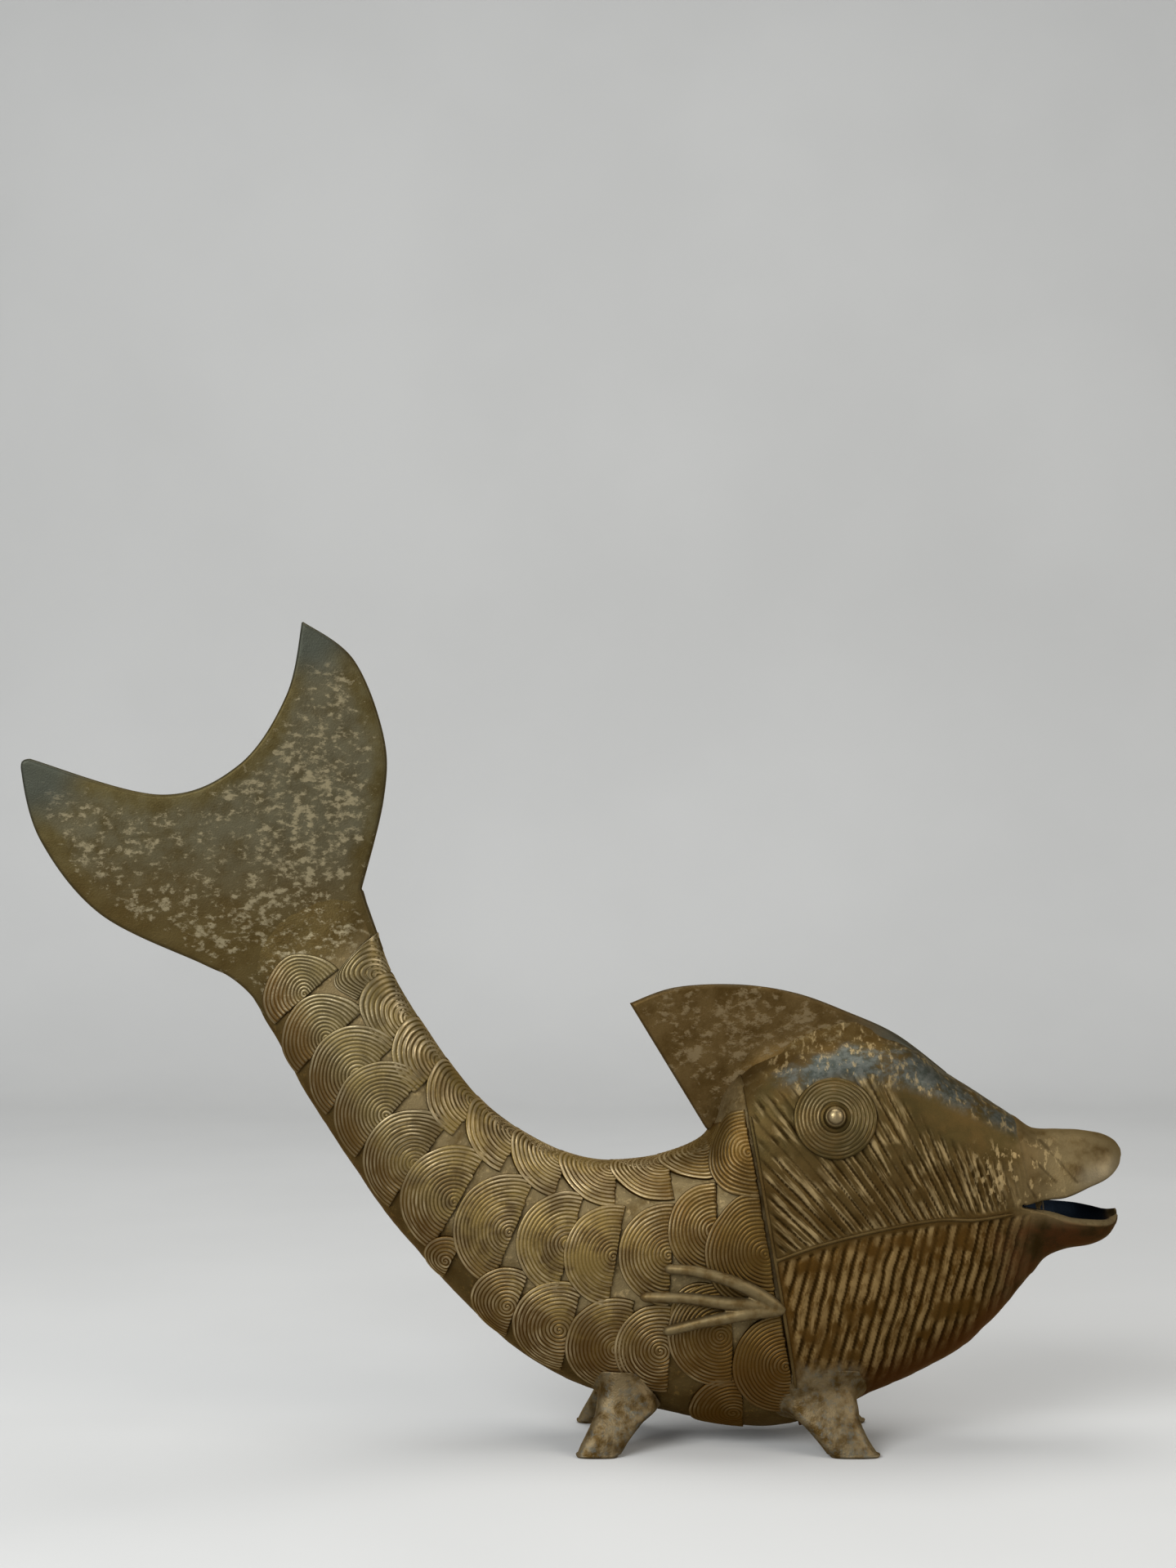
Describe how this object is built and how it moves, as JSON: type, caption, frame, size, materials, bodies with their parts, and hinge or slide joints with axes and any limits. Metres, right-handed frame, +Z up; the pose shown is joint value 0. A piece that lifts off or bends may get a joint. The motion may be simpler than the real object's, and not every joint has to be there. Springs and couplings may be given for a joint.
{
  "type": "cast metal fish figurine",
  "caption": "Standing fish figurine in cast metal with a swept-up crescent tail, sail-like back fin, coil scales, striped head, parted lips and short splayed feet.",
  "frame": {"origin": "on the table under the middle of the overall box", "axes": "+Z up, +X from the tail towards the lips, +Y to the fish's left"},
  "size_m": [0.3999, 0.0638, 0.298],
  "materials": {
    "body_metal": "aged dark brown patina",
    "fin_metal": "mottled patina with sandy flecks",
    "scale_metal": "worn threads over dark grooves",
    "foot_metal": "greyish worn metal",
    "clay": "matt fired clay"
  },
  "bodies": {
    "root": {"clay_core": "clay", "head_shell": "body_metal", "left_belly_scales": "scale_metal", "left_eye_coil": "scale_metal", "left_eye_stud": "scale_metal", "left_face_thread": "body_metal", "left_flank_scale_1": "scale_metal", "left_flank_scale_10": "scale_metal", "left_flank_scale_11": "scale_metal", "left_flank_scale_2": "scale_metal", "left_flank_scale_3": "scale_metal", "left_flank_scale_4": "scale_metal", "left_flank_scale_5": "scale_metal", "left_flank_scale_6": "scale_metal", "left_flank_scale_7": "scale_metal", "left_flank_scale_8": "scale_metal", "left_flank_scale_9": "scale_metal", "left_front_foot": "foot_metal", "left_gill_scale_lower": "scale_metal", "left_gill_scale_middle": "scale_metal", "left_gill_scale_upper": "scale_metal", "left_ray_fin": "foot_metal", "left_rear_foot": "foot_metal", "lower_lip": "body_metal", "ridge_scale_1": "scale_metal", "ridge_scale_2": "scale_metal", "ridge_scale_3": "scale_metal", "ridge_scale_4": "scale_metal", "ridge_scale_5": "scale_metal", "ridge_scale_6": "scale_metal", "ridge_scale_7": "scale_metal", "ridge_scale_8": "scale_metal", "ridge_scale_9": "scale_metal", "right_belly_scales": "scale_metal", "right_eye_coil": "scale_metal", "right_eye_stud": "scale_metal", "right_face_thread": "body_metal", "right_flank_scale_1": "scale_metal", "right_flank_scale_10": "scale_metal", "right_flank_scale_11": "scale_metal", "right_flank_scale_2": "scale_metal", "right_flank_scale_3": "scale_metal", "right_flank_scale_4": "scale_metal", "right_flank_scale_5": "scale_metal", "right_flank_scale_6": "scale_metal", "right_flank_scale_7": "scale_metal", "right_flank_scale_8": "scale_metal", "right_flank_scale_9": "scale_metal", "right_front_foot": "foot_metal", "right_gill_scale_lower": "scale_metal", "right_gill_scale_middle": "scale_metal", "right_gill_scale_upper": "scale_metal", "right_ray_fin": "foot_metal", "right_rear_foot": "foot_metal", "sail_fin": "fin_metal", "tail_fin": "fin_metal", "trunk_shell": "body_metal", "upper_lip": "body_metal"}
  },
  "joints": []
}
